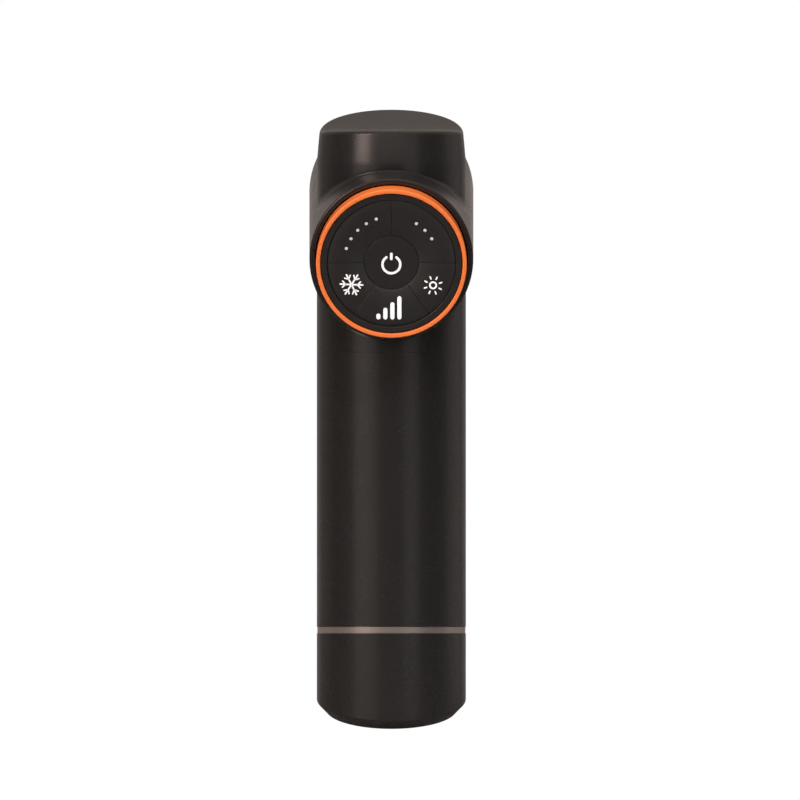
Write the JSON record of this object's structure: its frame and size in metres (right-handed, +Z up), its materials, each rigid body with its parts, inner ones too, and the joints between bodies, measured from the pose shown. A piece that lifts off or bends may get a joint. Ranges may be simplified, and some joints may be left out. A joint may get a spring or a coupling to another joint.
{
  "type": "hot and cold percussion massager",
  "caption": "Handheld percussion massager: round upright handle, raked barrel with a round key panel behind and a pull-off metal-faced hot and cold head in front.",
  "frame": {"origin": "centre of the oblique base face, on the handle's axis", "axes": "+Z up along the handle, +Y towards the massage head, -Y out of the control panel, +X to the right seen from behind"},
  "size_m": [0.0528, 0.167, 0.199],
  "materials": {
    "black_shell": "semi-gloss",
    "panel_black": "satin",
    "accent_orange": "semi-gloss",
    "band_metal": "satin",
    "inner_black": "matte",
    "board_green": "lacquered",
    "light_guide": "clear",
    "steel": "machined",
    "aluminium": "satin",
    "brass": "sintered",
    "copper": "enamelled winding",
    "rubber": "matte",
    "ceramic": "matte",
    "cell_wrap": "shrink wrap"
  },
  "bodies": {
    "massager_body": {"upper_housing": "black_shell", "lower_housing": "black_shell", "front_collar": "black_shell", "handle_sleeve": "black_shell", "trim_band": "band_metal", "bottom_cap": "black_shell", "accent_ring": "accent_orange", "panel_bezel": "panel_black", "panel_tray": "inner_black", "key_board": "board_green", "speed_window": "panel_black", "level_window": "panel_black", "speed_light_guide": "light_guide", "level_light_guide": "light_guide", "power_switch": "inner_black", "cold_switch": "inner_black", "heat_switch": "inner_black", "intensity_switch": "inner_black", "drive_frame": "aluminium", "motor_stator": "copper", "motor_bearing_lower": "steel", "motor_bearing_upper": "steel", "rear_bush": "brass", "front_bush": "brass", "shaft_seal": "rubber", "main_board": "board_green", "battery_cell_1": "cell_wrap", "battery_cell_2": "cell_wrap", "battery_cell_3": "cell_wrap", "cell_holder_upper": "inner_black", "cell_holder_lower": "inner_black", "charge_board": "board_green", "charge_socket": "steel", "housing_screw_1": "steel", "housing_screw_2": "steel", "housing_screw_3": "steel", "housing_screw_4": "steel", "cap_screw_1": "steel", "cap_screw_2": "steel"},
    "power_key": {"power_button": "panel_black"},
    "cold_key": {"cold_button": "panel_black"},
    "heat_key": {"heat_button": "panel_black"},
    "intensity_key": {"intensity_button": "panel_black"},
    "rotor": {"motor_rotor": "steel", "crank_disc": "steel"},
    "shaft": {"percussion_shaft": "steel", "wrist_pin": "steel"},
    "rod": {"connecting_rod": "aluminium", "rod_bearing": "steel"},
    "massage_head": {"head_body": "black_shell", "fan_motor": "inner_black", "heat_sink": "aluminium", "peltier_module": "ceramic", "plate_gasket": "rubber", "contact_plate": "aluminium"},
    "fan": {"fan_rotor": "inner_black"}
  },
  "joints": [
    {"name": "power_press", "type": "slide", "parent": "massager_body", "child": "power_key", "axis": [0, 0.9816, 0.1908], "range_m": [0, 0.0006], "stiffness_N_per_m": 1500, "springref_m": -0.0008},
    {"name": "cold_press", "type": "slide", "parent": "massager_body", "child": "cold_key", "axis": [0, 0.9816, 0.1908], "range_m": [0, 0.0006], "stiffness_N_per_m": 1500, "springref_m": -0.0008},
    {"name": "heat_press", "type": "slide", "parent": "massager_body", "child": "heat_key", "axis": [0, 0.9816, 0.1908], "range_m": [0, 0.0006], "stiffness_N_per_m": 1500, "springref_m": -0.0008},
    {"name": "intensity_press", "type": "slide", "parent": "massager_body", "child": "intensity_key", "axis": [0, 0.9816, 0.1908], "range_m": [0, 0.0006], "stiffness_N_per_m": 1500, "springref_m": -0.0008},
    {"name": "motor_spin", "type": "hinge", "parent": "massager_body", "child": "rotor", "pos_m": [0, 0.00393, 0.15197], "axis": [0, -0.1908, 0.9816], "continuous": true},
    {"name": "percussion_slide", "type": "slide", "parent": "massager_body", "child": "shaft", "axis": [0, 0.9816, 0.1908], "range_m": [0, 0.01]},
    {"name": "rod_swing", "type": "hinge", "parent": "shaft", "child": "rod", "pos_m": [0, 0.02454, 0.15598], "axis": [0, -0.1908, 0.9816], "range_deg": [-11, 11]},
    {"name": "head_pull", "type": "slide", "parent": "shaft", "child": "massage_head", "axis": [0, 0.9816, 0.1908], "range_m": [0, 0.02]},
    {"name": "fan_spin", "type": "hinge", "parent": "massage_head", "child": "fan", "pos_m": [0, 0.09816, 0.17029], "axis": [0, 0.9816, 0.1908], "continuous": true}
  ]
}
